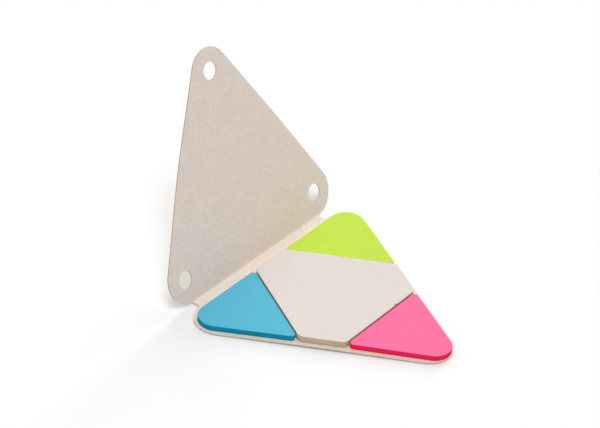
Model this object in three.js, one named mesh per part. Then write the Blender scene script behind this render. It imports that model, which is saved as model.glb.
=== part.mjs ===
// Memo pad set: a folder of recycled card, shaped as a rounded triangle, that opens like a book.
// Four tear-off pads lie on its back panel: one in each corner and a six-sided one between them.
// Millimetres, +Z up. The hinge runs along X at the back (+Y), and one corner points to the front.
// The origin is the middle of the back panel's underside.
import * as THREE from "three";

// Driving dimensions of the card folder
const CORNER_PITCH = 82.1; // between the centres of a panel's three corner arcs
const CORNER_RADIUS = 11;
const CARD_THICKNESS = 0.5;
const COVER_INSET = 0.4; // how much smaller all round the cover is than the back panel
const WINDOW_PITCH = 83.8; // between the centres of the cover's three sight holes
const WINDOW_DIAMETER = 7.4;
const CREASE_GAP = 0.3; // between two stretches of card at a fold line
const SPINE_SLACK = 0.5; // the closed cover's clearance over the thickest pad

// Driving dimensions of the pads
const PAD_MARGIN = 2.3; // card left showing around the pads, on average
const PAD_FORWARD = 0.7; // how far the pads lie off the panel's middle, away from the hinge
const PAD_GAP = 0.5; // between neighbouring pads
const CORNER_PAD_SIDE = 46.3; // a corner pad's side, measured to its sharp corners
const CORNER_PAD_BROAD_RADIUS = 7.5;
const CORNER_PAD_SMALL_RADIUS = 1.5;
const CENTRE_PAD_RADIUS = 3.2;
const LEAVES_PER_PAD = 25;
const COLOURED_LEAF = 0.097; // thickness of one leaf
const NATURAL_LEAF = 0.118;

// The small dent in the centre pad's edge, on the side of the front pad
const NICK_WIDTH = 1.4;
const NICK_DEPTH = 0.6;
const NICK_OFFSET = 10.2; // from the middle of that edge, towards the side of the back right pad

// Pose of the open folder, as angles above the back panel's plane
const SPINE_TILT = THREE.MathUtils.degToRad(4);
const COVER_TILT = THREE.MathUtils.degToRad(69);

// Sizes that follow from those. An equilateral triangle's corners are its side over the square root
// of 3 from its middle, and its sides are half as far.
const circumradius = (side) => side / Math.sqrt(3);
const COLOURED_PAD_HEIGHT = LEAVES_PER_PAD * COLOURED_LEAF;
const CENTRE_PAD_HEIGHT = LEAVES_PER_PAD * NATURAL_LEAF;
const SPINE_WIDTH = Math.max(CENTRE_PAD_HEIGHT, COLOURED_PAD_HEIGHT) + SPINE_SLACK;
const SPINE_LENGTH = CORNER_PITCH;
const ARC_CENTRE_RADIUS = circumradius(CORNER_PITCH);
const HINGE_Y = ARC_CENTRE_RADIUS / 2 + CORNER_RADIUS; // from a panel's middle to its sides
const WINDOW_CENTRE_RADIUS = circumradius(WINDOW_PITCH);
const PAD_FIELD_CIRCUMRADIUS = 2 * (HINGE_Y - PAD_MARGIN); // sharp triangle that the pads fill
const ARC_STEPS = 20;

// Directions from a panel's middle to its corners: back right, back left and front
const CORNER_DIRECTIONS = [30, 150, 270].map((angle) => THREE.MathUtils.degToRad(angle));

const unit = (angle) => new THREE.Vector2(Math.cos(angle), Math.sin(angle));

// Convex outline, anticlockwise, with each corner rounded by its own radius.
// A nick, if there is one, is a shallow arc pressed into the side after the corner it names.
function roundedOutline(corners, nick = null) {
  const outline = new THREE.Shape();
  corners.forEach(({ point, radius }, index) => {
    const before = corners[(index + corners.length - 1) % corners.length].point;
    const after = corners[(index + 1) % corners.length].point;
    const arriving = point.clone().sub(before).normalize();
    const leaving = after.clone().sub(point).normalize();
    const halfTurn = Math.acos(arriving.dot(leaving)) / 2;
    const inward = leaving.clone().sub(arriving).normalize();
    const centre = point.clone().addScaledVector(inward, radius / Math.cos(halfTurn));
    const start = arriving.angle() - Math.PI / 2;
    outline.absarc(centre.x, centre.y, radius, start, start + 2 * halfTurn, false);
    if (nick && nick.side === index) {
      const middle = point.clone().lerp(after, 0.5).addScaledVector(leaving, nick.offset);
      const near = middle.clone().addScaledVector(leaving, -nick.width / 2);
      const far = middle.clone().addScaledVector(leaving, nick.width / 2);
      const inside = new THREE.Vector2(-leaving.y, leaving.x);
      const control = middle.clone().addScaledVector(inside, 2 * nick.depth);
      outline.lineTo(near.x, near.y);
      outline.quadraticCurveTo(control.x, control.y, far.x, far.y);
    }
  });
  outline.closePath();
  return outline;
}

function extruded(outline, thickness, curveSegments = ARC_STEPS) {
  return new THREE.ExtrudeGeometry(outline, {
    depth: thickness,
    bevelEnabled: false,
    curveSegments,
  });
}

function paper(colour, roughness) {
  return new THREE.MeshStandardMaterial({ color: colour, roughness, metalness: 0 });
}

const recycledCard = paper(0xedddd0, 0.9);
const coverCard = paper(0xd9cbc0, 0.9);

// Rounded triangle around a panel's middle, with its hinge side at +Y
function panelOutline(cornerRadius) {
  const sharpCircumradius = ARC_CENTRE_RADIUS + 2 * cornerRadius;
  const corners = CORNER_DIRECTIONS.map((angle) => ({
    point: unit(angle).multiplyScalar(sharpCircumradius),
    radius: cornerRadius,
  }));
  return roundedOutline(corners);
}

function backPanel() {
  const outline = panelOutline(CORNER_RADIUS);
  const panel = new THREE.Mesh(extruded(outline, CARD_THICKNESS), recycledCard);
  panel.name = "back_panel";
  return panel;
}

// Narrow strip of card between the two folds, as long as the straight part of the hinge side.
// Its inner face is at z = 0 and its inner fold at y = 0.
function spineStrip() {
  const width = SPINE_WIDTH - CREASE_GAP;
  const geometry = new THREE.BoxGeometry(SPINE_LENGTH, width, CARD_THICKNESS);
  geometry.translate(0, SPINE_WIDTH / 2, -CARD_THICKNESS / 2);
  const strip = new THREE.Mesh(geometry, recycledCard);
  strip.name = "spine_strip";
  return strip;
}

// Cover, hinged at y = 0 with its inner face at z = 0: the back panel's shape, mirrored and a
// little smaller, with a round window near each corner.
function coverPanel() {
  const outline = panelOutline(CORNER_RADIUS - COVER_INSET);
  CORNER_DIRECTIONS.forEach((angle) => {
    const centre = unit(angle).multiplyScalar(WINDOW_CENTRE_RADIUS);
    const window = new THREE.Path();
    window.absarc(centre.x, centre.y, WINDOW_DIAMETER / 2, 0, 2 * Math.PI, true);
    outline.holes.push(window);
  });
  const geometry = extruded(outline, CARD_THICKNESS);
  geometry.rotateZ(Math.PI);
  geometry.translate(0, HINGE_Y - COVER_INSET + CREASE_GAP / 2, -CARD_THICKNESS);
  const cover = new THREE.Mesh(geometry, coverCard);
  cover.name = "cover_panel";
  return cover;
}

// Pad that fills one corner: a broad corner in the card's corner, and two small ones
function cornerPad(name, direction, colour) {
  const tip = unit(direction).multiplyScalar(PAD_FIELD_CIRCUMRADIUS);
  const side = (turn) =>
    tip.clone().addScaledVector(unit(direction + Math.PI + turn), CORNER_PAD_SIDE);
  const outline = roundedOutline([
    { point: tip, radius: CORNER_PAD_BROAD_RADIUS },
    { point: side(-Math.PI / 6), radius: CORNER_PAD_SMALL_RADIUS },
    { point: side(Math.PI / 6), radius: CORNER_PAD_SMALL_RADIUS },
  ]);
  const pad = new THREE.Mesh(extruded(outline, COLOURED_PAD_HEIGHT), paper(colour, 0.85));
  pad.name = name;
  return pad;
}

// Six-sided pad that fills the rest of the field: three long sides face the corner pads, and three
// short sides lie on the card's sides.
function centrePad() {
  const reach = CORNER_PAD_SIDE + PAD_GAP / Math.cos(Math.PI / 6);
  const corners = CORNER_DIRECTIONS.flatMap((direction) => {
    const tip = unit(direction).multiplyScalar(PAD_FIELD_CIRCUMRADIUS);
    return [Math.PI / 6, -Math.PI / 6].map((turn) => ({
      point: tip.clone().addScaledVector(unit(direction + Math.PI + turn), reach),
      radius: CENTRE_PAD_RADIUS,
    }));
  });
  const nick = { side: 4, offset: NICK_OFFSET, width: NICK_WIDTH, depth: NICK_DEPTH };
  const geometry = extruded(roundedOutline(corners, nick), CENTRE_PAD_HEIGHT);
  const pad = new THREE.Mesh(geometry, paper(0xe7ded9, 0.85));
  pad.name = "natural_pad";
  return pad;
}

function pads() {
  const [backRight, backLeft, front] = CORNER_DIRECTIONS;
  const field = new THREE.Group();
  field.position.set(0, -PAD_FORWARD, CARD_THICKNESS);
  field.add(
    cornerPad("green_pad", backRight, 0xc8e74e),
    cornerPad("blue_pad", backLeft, 0x5cbcd5),
    cornerPad("pink_pad", front, 0xff7aaa),
    centrePad(),
  );
  return field;
}

function openFolder() {
  const cover = new THREE.Group();
  cover.position.y = SPINE_WIDTH;
  cover.rotation.x = COVER_TILT - SPINE_TILT;
  cover.add(coverPanel());

  const spine = new THREE.Group();
  spine.position.set(0, HINGE_Y, CARD_THICKNESS);
  spine.rotation.x = SPINE_TILT;
  spine.add(spineStrip(), cover);

  const folder = new THREE.Group();
  folder.add(backPanel(), spine);
  return folder;
}

const group = new THREE.Group();
group.name = "memo_pad_set";
group.add(openFolder(), pads());

export default group;
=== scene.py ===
import logging
import math
from collections.abc import Callable, Iterable
from dataclasses import dataclass
from enum import Enum
from typing import Any

import bmesh
import bpy
from mathutils import Matrix, Vector


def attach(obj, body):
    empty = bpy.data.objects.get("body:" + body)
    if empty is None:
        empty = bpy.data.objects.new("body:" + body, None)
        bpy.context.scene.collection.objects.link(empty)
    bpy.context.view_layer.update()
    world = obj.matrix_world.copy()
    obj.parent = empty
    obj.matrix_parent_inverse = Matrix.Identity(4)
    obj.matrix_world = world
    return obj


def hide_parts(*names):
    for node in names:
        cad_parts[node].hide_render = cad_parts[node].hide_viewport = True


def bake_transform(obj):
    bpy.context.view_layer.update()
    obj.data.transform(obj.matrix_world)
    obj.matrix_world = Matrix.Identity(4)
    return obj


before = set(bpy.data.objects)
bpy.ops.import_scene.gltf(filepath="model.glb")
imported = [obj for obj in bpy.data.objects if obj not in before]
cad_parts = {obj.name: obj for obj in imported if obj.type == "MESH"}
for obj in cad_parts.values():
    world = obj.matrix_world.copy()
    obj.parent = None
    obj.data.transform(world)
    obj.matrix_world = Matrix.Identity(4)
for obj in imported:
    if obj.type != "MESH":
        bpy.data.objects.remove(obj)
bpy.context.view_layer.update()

log = logging.getLogger("memo_pad_set")

Colour = tuple[float, float, float]
Place = tuple[float, float, float]

MM = 0.001
TOUCHING = 0.001 * MM  # nearer than this, two points are one
ON_FOLD = 0.004 * MM  # nearer than this, a vertex lies on a fold
RISEN = 0.01 * MM  # higher than this over the flat sheet, a vertex has been folded up
CORNER_ANGLES = (30, 150, 270)  # from a panel's middle to its corners, in degrees
SIDE_ANGLES = (90, 210, 330)  # and to the middles of its sides

COLOURED_LEAF = 0.097 * MM
NATURAL_LEAF = 0.118 * MM
LAID_TURN = math.radians(-60)  # direction of the laid lines, from X

BOW_REACH = 50 * MM  # how far from the middle of a side its bow goes
ARCH_PLACE = (-30.05 * MM, -17.35 * MM, 0.5 * MM)  # middle of the back panel's front left side
ARCH_LIFT = (0.0, 0.0, 0.4 * MM)  # how far it stands off the desk


def srgb(red: int, green: int, blue: int) -> Colour:
    """Turn a colour of 0 to 255 steps into the linear values that shaders take."""
    steps = (value / 255 for value in (red, green, blue))
    linear = [v / 12.92 if v <= 0.04045 else ((v + 0.055) / 1.055) ** 2.4 for v in steps]
    return linear[0], linear[1], linear[2]


# Edit-mode helpers


def clear_selection() -> None:
    """Leave no object selected, so that the next operator acts on its own piece alone."""
    bpy.ops.object.select_all(action="DESELECT")


def select_alone(piece: bpy.types.Object) -> None:
    """Select one object and make it the active one."""
    clear_selection()
    piece.select_set(True)
    bpy.context.view_layer.objects.active = piece


def select_vertices(test: Callable[[Vector], bool]) -> None:
    """Select the vertices of the mesh in edit mode that pass a test, and nothing else.

    Args:
        test: takes a vertex's place and says whether it is selected.
    """
    bpy.ops.mesh.select_mode(type="VERT")
    bpy.ops.mesh.select_all(action="DESELECT")
    mesh = bpy.context.edit_object.data
    edited = bmesh.from_edit_mesh(mesh)
    for vertex in edited.verts:
        vertex.select = test(vertex.co)
    edited.select_flush(True)
    bmesh.update_edit_mesh(mesh)


def select_faces(test: Callable[[Vector, Vector], bool]) -> None:
    """Select the faces of the mesh in edit mode that pass a test, and nothing else.

    Args:
        test: takes a face's middle and its normal and says whether it is selected.
    """
    bpy.ops.mesh.select_mode(type="FACE")
    bpy.ops.mesh.select_all(action="DESELECT")
    mesh = bpy.context.edit_object.data
    edited = bmesh.from_edit_mesh(mesh)
    edited.normal_update()
    for face in edited.faces:
        face.select = test(face.calc_center_median(), face.normal)
    edited.select_flush(True)
    bmesh.update_edit_mesh(mesh)


def cut_across(places: Iterable[float], normal: Place) -> None:
    """Bisect the whole mesh in edit mode by parallel planes.

    Args:
        places: distance of each plane from the origin, along its normal.
        normal: the planes' normal.
    """
    for place in places:
        bpy.ops.mesh.select_all(action="SELECT")
        centre = tuple(place * part for part in normal)
        bpy.ops.mesh.bisect(plane_co=centre, plane_no=normal)


def turn_about_x(angle: float, centre: Place) -> None:
    """Turn what is selected in edit mode about an axis along X, by the right-hand rule."""
    bpy.ops.transform.rotate(
        value=-angle,
        orient_axis="X",
        orient_type="GLOBAL",
        center_override=centre,
    )


def apply_modifier(piece: bpy.types.Object, kind: str, **settings: Any) -> None:
    """Add a modifier to a piece and apply it.

    Args:
        piece: the object.
        kind: the modifier's type.
        settings: the modifier's own settings.
    """
    select_alone(piece)
    modifier = piece.modifiers.new(kind.title(), kind)
    for name, value in settings.items():
        setattr(modifier, name, value)
    bpy.ops.object.modifier_apply(modifier=modifier.name)


def arch(piece: bpy.types.Object, centre: Place, lift: Place) -> None:
    """Move the part of a piece that lies around a point, less and less towards BOW_REACH.

    Args:
        piece: the object.
        centre: the point, where the move is whole.
        lift: the move.
    """
    ends = []
    for name, place in (("from", Vector(centre)), ("to", Vector(centre) + Vector(lift))):
        end = bpy.data.objects.new(f"arch_{name}", None)
        end.location = place
        bpy.context.scene.collection.objects.link(end)
        ends.append(end)
    bpy.context.view_layer.update()
    apply_modifier(
        piece,
        "WARP",
        object_from=ends[0],
        object_to=ends[1],
        falloff_type="SMOOTH",
        falloff_radius=BOW_REACH,
    )
    for end in ends:
        bpy.data.objects.remove(end)


# Shaders


class Value:
    """A number socket, on which Python's arithmetic adds Math nodes."""

    def __init__(self, tree: "Nodes", socket: bpy.types.NodeSocket) -> None:
        """Keep the socket and the tree that it belongs to."""
        self.tree = tree
        self.socket = socket

    def _math(self, operation: str, *values: "Value | float") -> "Value":
        """Add a Math node.

        Args:
            operation: the node's operation.
            values: its inputs, in order.

        Returns:
            The node's output.
        """
        inputs = dict(enumerate(values))
        node = self.tree.node("ShaderNodeMath", {"operation": operation}, inputs)
        return Value(self.tree, node.outputs[0])

    def __add__(self, other: "Value | float") -> "Value":
        """Return self + other."""
        return self._math("ADD", self, other)

    __radd__ = __add__

    def __sub__(self, other: "Value | float") -> "Value":
        """Return self - other."""
        return self._math("SUBTRACT", self, other)

    def __rsub__(self, other: float) -> "Value":
        """Return other - self."""
        return self._math("SUBTRACT", other, self)

    def __mul__(self, other: "Value | float") -> "Value":
        """Return self * other."""
        return self._math("MULTIPLY", self, other)

    def __truediv__(self, other: "Value | float") -> "Value":
        """Return self / other."""
        return self._math("DIVIDE", self, other)

    def clamp(self) -> "Value":
        """Hold the value between 0 and 1."""
        held = self._math("MAXIMUM", self, 0.0)
        return held._math("MINIMUM", held, 1.0)

    def ramp(self, low: float, high: float) -> "Value":
        """Rise from 0 where the value is low to 1 where it is high, and hold it there."""
        return ((self - low) / (high - low)).clamp()

    def sine(self) -> "Value":
        """Return the sine, moved and scaled to lie between 0 and 1."""
        return self._math("SINE", self) * 0.5 + 0.5

    def larger(self, other: "Value") -> "Value":
        """Return the larger of two values."""
        return self._math("MAXIMUM", self, other)


class Nodes:
    """A node tree, to which one method adds every node."""

    def __init__(self, owner: bpy.types.Material | bpy.types.World) -> None:
        """Take the empty tree of a material or a world."""
        owner.use_nodes = True
        self.tree = owner.node_tree
        self.tree.nodes.clear()

    def node(
        self,
        kind: str,
        settings: dict[str, Any],
        inputs: dict[str | int, Any],
    ) -> bpy.types.Node:
        """Add a node.

        Args:
            kind: the node's type.
            settings: its own settings, which are set before its sockets.
            inputs: a value, a socket or a Value for each socket that isn't left as it is.

        Returns:
            The node.
        """
        node = self.tree.nodes.new(kind)
        for name, value in settings.items():
            setattr(node, name, value)
        for key, value in inputs.items():
            source = value.socket if isinstance(value, Value) else value
            if isinstance(source, bpy.types.NodeSocket):
                self.tree.links.new(source, node.inputs[key])
            else:
                node.inputs[key].default_value = source
        return node


class Shader(Nodes):
    """The node tree of one material."""

    def __init__(self, name: str) -> None:
        """Make a material with a Principled shader and an output."""
        self.material = bpy.data.materials.new(name)
        super().__init__(self.material)
        self.surface = self.node("ShaderNodeBsdfPrincipled", {}, {})
        self.node("ShaderNodeOutputMaterial", {}, {"Surface": self.surface.outputs[0]})
        self.place = self.node("ShaderNodeTexCoord", {}, {}).outputs["Object"]

    def stretched(self, length: Place, turn: float) -> bpy.types.NodeSocket:
        """Give the piece's own coordinates, turned about Z and then stretched.

        Args:
            length: how much longer a pattern's features are along each turned axis.
            turn: angle from X to the turned first axis.

        Returns:
            The coordinates.
        """
        inputs = {"Vector": self.place, "Rotation": (0, 0, turn), "Scale": length}
        mapping = self.node("ShaderNodeMapping", {"vector_type": "TEXTURE"}, inputs)
        return mapping.outputs["Vector"]

    def noise(
        self,
        size: float,
        detail: float = 2.0,
        roughness: float = 0.5,
        length: Place = (1, 1, 1),
        turn: float = 0.0,
    ) -> Value:
        """Add a noise pattern.

        Args:
            size: length of its features, in metres.
            detail: octaves of finer noise in it.
            roughness: strength of the finer noise.
            length: how much longer its features are along each axis.
            turn: how far the axes are turned about Z.

        Returns:
            Values around 0.5.
        """
        inputs = {
            "Vector": self.stretched(length, turn),
            "Scale": 1 / size,
            "Detail": detail,
            "Roughness": roughness,
        }
        node = self.node("ShaderNodeTexNoise", {"noise_dimensions": "3D"}, inputs)
        return Value(self, node.outputs[0])

    def mix(self, factor: Value, first: Any, second: Any) -> bpy.types.NodeSocket:
        """Mix two colours.

        Args:
            factor: 0 gives the first and 1 the second.
            first: a colour or a colour socket.
            second: a colour or a colour socket.

        Returns:
            The mixed colour.
        """
        ends = [c if isinstance(c, bpy.types.NodeSocket) else (*c, 1) for c in (first, second)]
        inputs = {0: factor, 6: ends[0], 7: ends[1]}
        return self.node("ShaderNodeMix", {"data_type": "RGBA"}, inputs).outputs[2]

    def feed(self, socket: str, value: Any) -> None:
        """Link a value to one of the surface's sockets, or set it there."""
        if isinstance(value, Value):
            value = value.socket
        if isinstance(value, bpy.types.NodeSocket):
            self.tree.links.new(value, self.surface.inputs[socket])
        else:
            self.surface.inputs[socket].default_value = value

    def bump(self, height: Value, depth: float) -> None:
        """Raise the surface's relief.

        Args:
            height: pattern from 0 to 1.
            depth: how deep a whole step of the pattern is, in metres.
        """
        inputs = {"Height": height, "Distance": depth, "Strength": 1.0}
        node = self.node("ShaderNodeBump", {}, inputs)
        self.feed("Normal", node.outputs["Normal"])


@dataclass(frozen=True)
class CardFinish:
    """Mottled card of recycled pulp: soft cloudy patches, short fibres and fine flecks."""

    name: str
    pulp: Colour
    pale_fibre: Colour
    dark_fleck: Colour
    fleck_strength: float = 0.25
    relief: float = 0.02 * MM

    def make(self) -> bpy.types.Material:
        """Build the material."""
        shader = Shader(self.name)
        clouds = shader.noise(6 * MM, 3.0).ramp(0.3, 0.7)
        mottle = shader.noise(1.1 * MM, 3.0, 0.65).ramp(0.34, 0.66)
        grain = shader.noise(0.4 * MM, 3.0, 0.7).ramp(0.3, 0.7)
        long_fibres = shader.noise(0.35 * MM, 2.0, 0.6, (5, 1, 1)).ramp(0.5, 0.68)
        cross_fibres = shader.noise(0.35 * MM, 2.0, 0.6, (1, 5, 5)).ramp(0.5, 0.68)
        fibres = (long_fibres + cross_fibres).clamp()
        pale = clouds * 0.15 + mottle * 0.45 + grain * 0.2 + fibres * 0.2
        colour = shader.mix(pale, self.pulp, self.pale_fibre)
        flecks = shader.noise(0.9 * MM, 2.0).ramp(0.6, 0.7)
        colour = shader.mix(flecks * self.fleck_strength, colour, self.dark_fleck)
        shader.feed("Base Color", colour)
        shader.feed("Roughness", (0.86 + grain * 0.1).clamp())
        shader.bump(grain * 0.6 + fibres * 0.4, self.relief)
        return shader.material


@dataclass(frozen=True)
class LeafFinish:
    """Face of a sheet of note paper, with the faint cloudiness and laid lines of its pulp."""

    name: str
    face: Colour
    shade: Colour
    laid: float
    relief: float = 0.008 * MM

    def make(self) -> bpy.types.Material:
        """Build the material."""
        shader = Shader(self.name)
        clouds = shader.noise(1.2 * MM, 4.0, 0.65).ramp(0.3, 0.7)
        grain = shader.noise(0.25 * MM, 3.0, 0.6).ramp(0.3, 0.7)
        streaks = shader.noise(0.9 * MM, 3.0, 0.6, (9, 1, 1), LAID_TURN).ramp(0.42, 0.68)
        shadow = (clouds * 0.45 + grain * 0.2 + streaks * self.laid).clamp()
        shader.feed("Base Color", shader.mix(shadow, self.face, self.shade))
        shader.feed("Roughness", (0.78 + grain * 0.1).clamp())
        shader.bump(grain * 0.6 + streaks * 0.4, self.relief)
        return shader.material


@dataclass(frozen=True)
class StackEdgeFinish:
    """Cut side of a pad, where the edges of its leaves lie on one another, with painted shade
    that darkens it towards the pad's foot.
    """

    name: str
    edge: Colour
    gap: Colour
    leaf: float
    # base and top: heights over which the painted shade fades, from the pad's foot up to its top
    base: float
    top: float
    roughness: float = 0.9
    specular: float = 0.2
    relief: float = 0.03 * MM

    def make(self) -> bpy.types.Material:
        """Build the material."""
        shader = Shader(self.name)
        split = shader.node("ShaderNodeSeparateXYZ", {}, {"Vector": shader.place})
        height = Value(shader, split.outputs["Z"])
        wander = (shader.noise(9 * MM, 2.0) - 0.5) * (0.5 * self.leaf)
        gaps = ((height + wander) * (2 * math.pi / self.leaf)).sine().ramp(0.55, 1.0)
        streaks = shader.noise(self.leaf * 2.2, 2.0, 0.6, (25, 25, 1)).ramp(0.35, 0.65)
        # depth is painted shade: the side darkens from its top down to the pad's foot on the card
        depth = 1 - height.ramp(self.base, self.top)
        # the leaf gaps and streaks are the edge's own marks; depth adds painted shade to them
        edge_marks_and_painted_shade = (gaps * 0.2 + streaks * 0.35 + depth * 0.45).clamp()
        shader.feed("Base Color", shader.mix(edge_marks_and_painted_shade, self.edge, self.gap))
        shader.feed("Roughness", self.roughness)
        shader.feed("Specular IOR Level", self.specular)
        shader.bump(1 - gaps * (0.5 + streaks * 0.5), self.relief)
        return shader.material


# The folder


@dataclass
class Folder:
    """The folded sheet of card: back panel, spine strip and cover with three windows.

    The cover stands a little to the right, by cover_skew. left_bow and right_bow say how far the
    middles of its sides go outwards in its plane, and backwards.
    """

    corner_pitch: float = 82.1 * MM
    corner_radius: float = 11 * MM
    thickness: float = 0.5 * MM
    spine_width: float = 3.45 * MM
    cover_inset: float = 0.4 * MM
    window_pitch: float = 83.8 * MM
    window_diameter: float = 7.4 * MM
    spine_tilt: float = math.radians(4)
    cover_tilt: float = math.radians(69)
    fold_length: float = 0.9 * MM
    fold_steps: int = 6
    grid: float = 4 * MM
    corner_steps: int = 24
    joint_cut: float = 0.01 * MM
    cover_skew: float = 0.4 * MM
    left_bow: tuple[float, float] = (0.8 * MM, 0.45 * MM)
    right_bow: tuple[float, float] = (0.2 * MM, -0.3 * MM)

    @property
    def hinge_y(self) -> float:
        """Distance from a panel's middle to its sides."""
        return self.corner_pitch / math.sqrt(3) / 2 + self.corner_radius

    @property
    def cover_fold_y(self) -> float:
        """Place of the cover's fold on the sheet while it is flat."""
        return self.hinge_y + self.spine_width

    def outline(self, radius: float) -> bpy.types.Object:
        """Lay out a panel as a flat face, by pulling the thirds of a disc out to the corners.

        Args:
            radius: radius of the corner arcs.

        Returns:
            The panel's object, in edit mode, with its hinge side at +Y.
        """
        clear_selection()
        bpy.ops.mesh.primitive_circle_add(
            vertices=3 * self.corner_steps,
            radius=radius,
            fill_type="NGON",
            enter_editmode=True,
        )
        piece = bpy.context.object
        ends = [math.radians(angle) for angle in SIDE_ANGLES]
        joints = [Vector((math.cos(a), math.sin(a), 0)) * radius for a in ends]
        select_vertices(lambda co: any((co - joint).length < TOUCHING for joint in joints))
        bpy.ops.mesh.bevel(
            affect="VERTICES",
            offset=self.joint_cut,
            offset_type="OFFSET",
            segments=1,
        )
        reach = self.corner_pitch / math.sqrt(3)
        inside = radius * 1.01  # what has been pulled out lies farther off
        third = 0.5  # cosine of the angle between a corner and the ends of its third
        for angle in (math.radians(a) for a in CORNER_ANGLES):
            corner = Vector((math.cos(angle), math.sin(angle), 0))
            select_vertices(
                lambda co: co.length < inside and co.normalized().dot(corner) > third
            )
            bpy.ops.transform.translate(value=corner * reach)
        return piece

    def add_half_spine(self, fold_y: float) -> None:
        """Extrude a panel's hinge side to the middle of the spine.

        Args:
            fold_y: place of that side.
        """
        half = self.spine_width / 2
        select_vertices(lambda co: abs(co.y - fold_y) < ON_FOLD)
        move = {"value": (0, half if fold_y < self.hinge_y + half else -half, 0)}
        bpy.ops.mesh.extrude_edges_move(TRANSFORM_OT_translate=move)

    def subdivide(self, fold_y: float, low_y: float, high_y: float) -> None:
        """Cut the flat sheet into a grid, with close rows at its fold.

        Args:
            fold_y: place of the fold.
            low_y: the sheet's lowest place along Y.
            high_y: its highest.
        """
        reach = self.corner_pitch / 2 + self.corner_radius
        columns = int(reach / self.grid)
        cut_across((i * self.grid for i in range(-columns, columns + 1)), (1, 0, 0))
        rows = int((high_y - low_y) / self.grid)
        cut_across((low_y + i * self.grid for i in range(1, rows + 1)), (0, 1, 0))
        step = self.fold_length / self.fold_steps
        half = self.fold_steps / 2
        cut_across((fold_y + (i - half) * step for i in range(self.fold_steps + 1)), (0, 1, 0))

    def thicken(self) -> None:
        """Give the flat sheet its thickness, with its inner face on top."""
        bpy.ops.mesh.select_all(action="SELECT")
        move = {"value": (0, 0, self.thickness)}
        bpy.ops.mesh.extrude_region_move(TRANSFORM_OT_translate=move)
        bpy.ops.mesh.select_all(action="SELECT")
        bpy.ops.mesh.normals_make_consistent(inside=False)

    def fold(self, fold_y: float, angle: float, beyond: bool = True) -> None:
        """Bend the sheet along a fold, in small turns that leave a rounded crease.

        Args:
            fold_y: place of the fold on the flat sheet.
            angle: how far the far side rises.
            beyond: whether the fold's own curve is part of this sheet.
        """
        if not beyond:
            bpy.ops.mesh.select_all(action="SELECT")
            turn_about_x(angle, (0, fold_y, self.thickness))
            return
        step = self.fold_length / self.fold_steps
        for i in reversed(range(self.fold_steps)):
            y = fold_y + (i + 0.5 - self.fold_steps / 2) * step
            line = y - step / 4
            select_vertices(lambda co: self._is_beyond(co, line))
            turn_about_x(angle / self.fold_steps, (0, y, self.thickness))

    def _is_beyond(self, co: Vector, line: float) -> bool:
        """Say whether a vertex lies past a line on the sheet, or was folded up from there.

        Args:
            co: the vertex's place.
            line: place of the line along Y.

        Returns:
            True if it does.
        """
        return co.y > line or co.z > self.thickness + RISEN

    def build_back(self, card: bpy.types.Material, cut: bpy.types.Material) -> bpy.types.Object:
        """Make the back panel with the inner half of the spine.

        Args:
            card: material of the faces.
            cut: material of the cut edges, darker than the faces, partly from the card's own edge
                colour and partly as painted shade.

        Returns:
            The piece.
        """
        piece = self.outline(self.corner_radius)
        self.add_half_spine(self.hinge_y)
        self.subdivide(self.hinge_y, -self.hinge_y * 2, self.hinge_y + self.spine_width / 2)
        self.thicken()
        self.dress(piece, card, cut)
        self.fold(self.hinge_y, self.spine_tilt)
        bpy.ops.object.mode_set(mode="OBJECT")
        arch(piece, ARCH_PLACE, ARCH_LIFT)
        piece.name = piece.data.name = "card_back"
        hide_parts("back_panel")
        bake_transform(piece)
        return piece

    def build_cover(self, card: bpy.types.Material, cut: bpy.types.Material) -> bpy.types.Object:
        """Make the cover with the outer half of the spine.

        Args:
            card: material of the faces.
            cut: material of the cut edges, darker than the faces, partly from the card's own edge
                colour and partly as painted shade.

        Returns:
            The piece.
        """
        radius = self.corner_radius - self.cover_inset
        middle_y = self.cover_fold_y + self.hinge_y - self.cover_inset
        piece = self.outline(radius)
        bpy.ops.mesh.select_all(action="SELECT")
        bpy.ops.transform.rotate(value=math.pi, orient_axis="Z", center_override=(0, 0, 0))
        bpy.ops.transform.translate(value=(0, middle_y, 0))
        self.add_half_spine(self.cover_fold_y)
        top = middle_y + 2 * self.hinge_y
        self.subdivide(self.cover_fold_y, self.cover_fold_y - self.spine_width / 2, top)
        select_vertices(lambda co: co.y > self.cover_fold_y + MM)
        bpy.ops.transform.translate(value=(self.cover_skew, 0, 0))
        self.thicken()
        bpy.ops.object.mode_set(mode="OBJECT")
        self.cut_windows(piece, middle_y)
        select_alone(piece)
        bpy.ops.object.mode_set(mode="EDIT")
        self.dress(piece, card, cut)
        self.fold(self.cover_fold_y, self.cover_tilt - self.spine_tilt)
        self.fold(self.hinge_y, self.spine_tilt, beyond=False)
        bpy.ops.object.mode_set(mode="OBJECT")
        piece.name = piece.data.name = "card_cover"
        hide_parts("cover_panel", "spine_strip")
        up = Vector((0, math.cos(self.cover_tilt), math.sin(self.cover_tilt)))
        along = Vector((0, math.cos(self.spine_tilt), math.sin(self.spine_tilt)))
        fold = Vector((0, self.hinge_y, self.thickness)) + along * self.spine_width
        away = up.cross(Vector((1, 0, 0)))
        for angle, (outward, backward) in ((150, self.left_bow), (30, self.right_bow)):
            turn = math.radians(angle)
            out = Vector((math.cos(turn), 0, 0)) + up * math.sin(turn)
            side = fold + up * (self.hinge_y - self.cover_inset) + out * self.hinge_y
            arch(piece, tuple(side), tuple(out * outward + away * backward))
        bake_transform(piece)
        return piece

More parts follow.
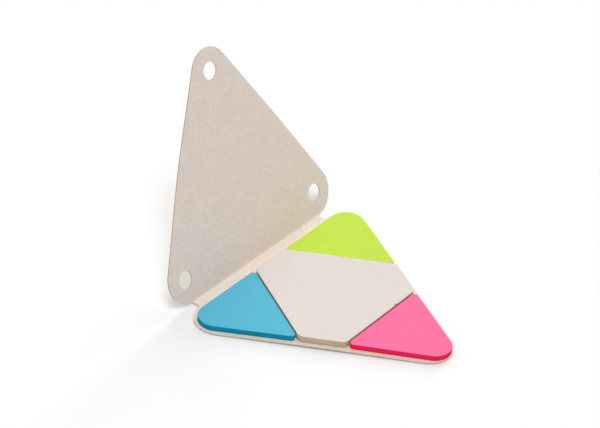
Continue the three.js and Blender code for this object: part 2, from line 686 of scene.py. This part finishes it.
    def cut_windows(self, piece: bpy.types.Object, middle_y: float) -> None:
        """Cut the round windows through the cover while it is flat.

        Args:
            piece: the cover.
            middle_y: place of its middle.
        """
        reach = self.window_pitch / math.sqrt(3)
        for angle in (math.radians(a) for a in (210, 330, 90)):
            across = self.cover_skew + math.cos(angle) * reach
            place = (across, middle_y + math.sin(angle) * reach, 0)
            clear_selection()
            bpy.ops.mesh.primitive_cylinder_add(
                vertices=64,
                radius=self.window_diameter / 2,
                depth=4 * self.thickness,
                location=place,
            )
            punch = bpy.context.object
            apply_modifier(piece, "BOOLEAN", operation="DIFFERENCE", object=punch, solver="EXACT")
            bpy.data.objects.remove(punch)

    def dress(
        self,
        piece: bpy.types.Object,
        card: bpy.types.Material,
        cut: bpy.types.Material,
    ) -> None:
        """Give the faces and the cut edges of the flat sheet their materials; the cut edges'
        darker material is partly painted shade.

        Args:
            piece: the sheet, in edit mode.
            card: material of the faces.
            cut: material of the cut edges, darker than the faces, partly from the card's own edge
                colour and partly as painted shade.
        """
        piece.data.materials.clear()
        piece.data.materials.append(card)
        piece.data.materials.append(cut)
        select_faces(lambda _, normal: abs(normal.z) < 0.5)
        piece.active_material_index = 1
        bpy.ops.object.material_slot_assign()


# The pads


class Paper(Enum):
    """The four papers, each with its node, the colours of its face and its cut side, and the
    colour of the gaps between the leaves' edges, which is also the painted shade at the side's
    foot.
    """

    # The last colour of each paper darkens its cut side: gaps between the leaves, and painted
    # shade towards the pad's foot.
    BLUE = ("blue_pad", (83, 187, 214), (0, 170, 202), (0, 120, 158))
    GREEN = ("green_pad", (196, 228, 64), (180, 220, 50), (150, 195, 20))
    PINK = ("pink_pad", (254, 111, 161), (255, 44, 104), (255, 14, 82))
    NATURAL = ("natural_pad", (228, 219, 213), (226, 204, 180), (198, 173, 146))

    def __init__(
        self,
        node: str,
        face: tuple[int, int, int],
        edge: tuple[int, int, int],
        gap: tuple[int, int, int],
    ) -> None:
        """Keep the paper's node and colours.

        Args:
            node: name of the pad's node.
            face: colour of a leaf's face, from 0 to 255.
            edge: colour of the leaves' cut edges.
            gap: colour between the edges, and the painted shade towards the pad's foot.
        """
        self.node = node
        self.face = srgb(*face)
        self.edge = srgb(*edge)
        self.gap = srgb(*gap)

    @property
    def slot(self) -> str:
        """Name of the record's material slot."""
        return self.node.replace("_pad", "_paper")

    @property
    def leaf(self) -> float:
        """Thickness of one leaf."""
        return NATURAL_LEAF if self is Paper.NATURAL else COLOURED_LEAF

    @property
    def laid(self) -> float:
        """Strength of the laid lines."""
        return 0.22 if self is Paper.NATURAL else 0.1


@dataclass
class Pad:
    """A stack of leaves, glued at one side and cut to shape."""

    paper: Paper
    rim: float = 0.12 * MM
    grid: float = 4 * MM
    grid_lines: int = 15
    shade: float = 0.88

    def build(self) -> bpy.types.Object:
        """Make the pad from its solid, with a softened rim and separate face and side materials.

        Returns:
            The piece.
        """
        solid = bpy.data.objects[self.paper.node]
        select_alone(solid)
        bpy.ops.object.duplicate()
        piece = bpy.context.object
        piece.name = piece.data.name = self.paper.node.replace("_pad", "_leaves")
        bpy.ops.object.mode_set(mode="EDIT")
        bpy.ops.mesh.select_all(action="SELECT")
        bpy.ops.mesh.remove_doubles(threshold=TOUCHING)
        bpy.ops.mesh.dissolve_limited(angle_limit=math.radians(0.5))
        bpy.ops.object.mode_set(mode="OBJECT")
        apply_modifier(
            piece,
            "BEVEL",
            width=self.rim,
            segments=2,
            limit_method="ANGLE",
            angle_limit=math.radians(60),
        )
        self.dress(piece)
        arch(piece, ARCH_PLACE, ARCH_LIFT)
        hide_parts(self.paper.node)
        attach(piece, "base")
        return piece

    def dress(self, piece: bpy.types.Object) -> None:
        """Give the pad's face and its cut side their materials, and cut both into a grid."""
        paper = self.paper
        shade = tuple(value * self.shade for value in paper.face)
        face = LeafFinish(f"{paper.slot}_face", paper.face, shade, paper.laid)
        heights = [vertex.co.z for vertex in piece.data.vertices]
        edge = StackEdgeFinish(
            name=f"{paper.slot}_edge",
            edge=paper.edge,
            gap=paper.gap,
            leaf=paper.leaf,
            base=min(heights),
            top=max(heights),
        )
        piece.data.materials.clear()
        piece.data.materials.append(face.make())
        piece.data.materials.append(edge.make())
        select_alone(piece)
        bpy.ops.object.mode_set(mode="EDIT")
        places = [n * self.grid for n in range(-self.grid_lines, self.grid_lines + 1)]
        cut_across(places, (1, 0, 0))
        cut_across(places, (0, 1, 0))
        select_faces(lambda _, normal: normal.z < 0.5)
        piece.active_material_index = 1
        bpy.ops.object.material_slot_assign()
        bpy.ops.object.mode_set(mode="OBJECT")


# The studio


@dataclass(frozen=True)
class Lamp:
    """Broad far lamp, with its share of the light that falls on the floor."""

    name: str
    share: float
    azimuth: float
    height: float
    spread: float

    def build(self) -> None:
        """Add the lamp."""
        data = bpy.data.lights.new(self.name, "SUN")
        data.energy = math.pi * self.share / math.sin(self.height)
        data.angle = self.spread
        lamp = bpy.data.objects.new(self.name, data)
        turn = Matrix.Rotation(self.azimuth, 3, "Z") @ Matrix.Rotation(-self.height, 3, "Y")
        towards = turn @ Vector((1, 0, 0))
        lamp.rotation_euler = towards.to_track_quat("Z", "Y").to_euler()
        bpy.context.scene.collection.objects.link(lamp)


@dataclass
class Studio:
    """Camera, lamps, world and floor."""

    place: Vector
    azimuth: float
    elevation: float
    roll: float
    lens: float
    lamps: tuple[Lamp, ...]
    sky: float = 0.36
    film_width: float = 36.0
    near: float = 0.01
    floor_size: float = 8.0
    floor_drop: float = 0.02 * MM
    floor_grey: float = 0.8

    def build(self) -> None:
        """Set up everything around the object."""
        self.add_camera()
        self.add_light()
        self.add_floor()
        bpy.context.scene.view_settings.view_transform = "Standard"

    def add_camera(self) -> None:
        """Add the camera at the photograph's place and angle."""
        flat = Vector((math.cos(self.azimuth), math.sin(self.azimuth), 0))
        forward = flat * math.cos(self.elevation) - Vector((0, 0, math.sin(self.elevation)))
        level = forward.cross(Vector((0, 0, 1))).normalized()
        right = Matrix.Rotation(-self.roll, 3, forward) @ level
        up = right.cross(forward)
        data = bpy.data.cameras.new("camera")
        data.lens = self.lens
        data.sensor_width = self.film_width
        data.clip_start = self.near
        camera = bpy.data.objects.new("camera", data)
        turn = Matrix((right, up, -forward)).transposed().to_4x4()
        camera.matrix_world = Matrix.Translation(self.place) @ turn
        bpy.context.scene.collection.objects.link(camera)
        bpy.context.scene.camera = camera

    def add_light(self) -> None:
        """Add the sky, which is white to the camera, and the lamps."""
        world = bpy.data.worlds.new("studio")
        bpy.context.scene.world = world
        nodes = Nodes(world)
        white = (1, 1, 1, 1)
        lit = nodes.node("ShaderNodeBackground", {}, {"Color": white, "Strength": self.sky})
        seen = nodes.node("ShaderNodeBackground", {}, {"Color": white, "Strength": 1.0})
        path = nodes.node("ShaderNodeLightPath", {}, {})
        rays = [Value(nodes, path.outputs[f"Is {kind} Ray"]) for kind in ("Camera", "Glossy")]
        inputs = {0: rays[0].larger(rays[1]), 1: lit.outputs[0], 2: seen.outputs[0]}
        mix = nodes.node("ShaderNodeMixShader", {}, inputs)
        nodes.node("ShaderNodeOutputWorld", {}, {"Surface": mix.outputs[0]})
        for lamp in self.lamps:
            lamp.build()

    def add_floor(self) -> None:
        """Add the pale floor, white to the camera where nothing shades it."""
        clear_selection()
        bpy.ops.mesh.primitive_plane_add(size=self.floor_size, location=(0, 0, -self.floor_drop))
        floor = bpy.context.object
        floor.name = "floor"
        shader = Shader("floor_paper")
        path = shader.node("ShaderNodeLightPath", {}, {})
        camera = Value(shader, path.outputs["Is Camera Ray"])
        white = 1.0 / (self.sky + sum(lamp.share for lamp in self.lamps))
        grey = self.floor_grey
        shader.feed("Base Color", shader.mix(camera, (grey, grey, grey), (white, white, white)))
        shader.feed("Roughness", 1.0)
        shader.feed("Specular IOR Level", 0.0)
        floor.data.materials.append(shader.material)


def main() -> None:
    """Build the studio and every piece, and log each piece's face count."""
    logging.basicConfig(level=logging.INFO, format="%(name)s: %(message)s")
    lamps = (
        Lamp("front", 0.39, math.radians(-136), math.radians(68), math.radians(28)),
        Lamp("side", 0.22, math.radians(28), math.radians(40), math.radians(40)),
        Lamp("low", 0.055, math.radians(12), math.radians(14), math.radians(14)),
    )
    studio = Studio(
        place=Vector((-616.36, -415.51, 560.42)) * MM,
        azimuth=math.radians(35.14),
        elevation=math.radians(35.02),
        roll=math.radians(4.6),
        lens=138.38,
        lamps=lamps,
    )
    studio.build()

    card = CardFinish(
        name="recycled_card",
        pulp=srgb(231, 214, 201),
        pale_fibre=srgb(252, 240, 230),
        dark_fleck=srgb(210, 188, 168),
    )
    # cut edges of the card: darker than the faces, partly the card's own edge colour and partly
    # painted shade on the sides
    cut = CardFinish(
        name="card_cut_edge_and_painted_shade",
        pulp=srgb(190, 172, 155),
        pale_fibre=srgb(203, 188, 172),
        dark_fleck=srgb(155, 136, 119),
    )
    card_material, cut_edge_and_shade_material = card.make(), cut.make()
    folder = Folder()
    for build in (folder.build_back, folder.build_cover):
        piece = build(card_material, cut_edge_and_shade_material)
        log.info("%s: %d faces", piece.name, len(piece.data.polygons))

    for paper in Paper:
        piece = Pad(paper).build()
        log.info("%s: %d faces", piece.name, len(piece.data.polygons))


if __name__ == "__main__":
    main()
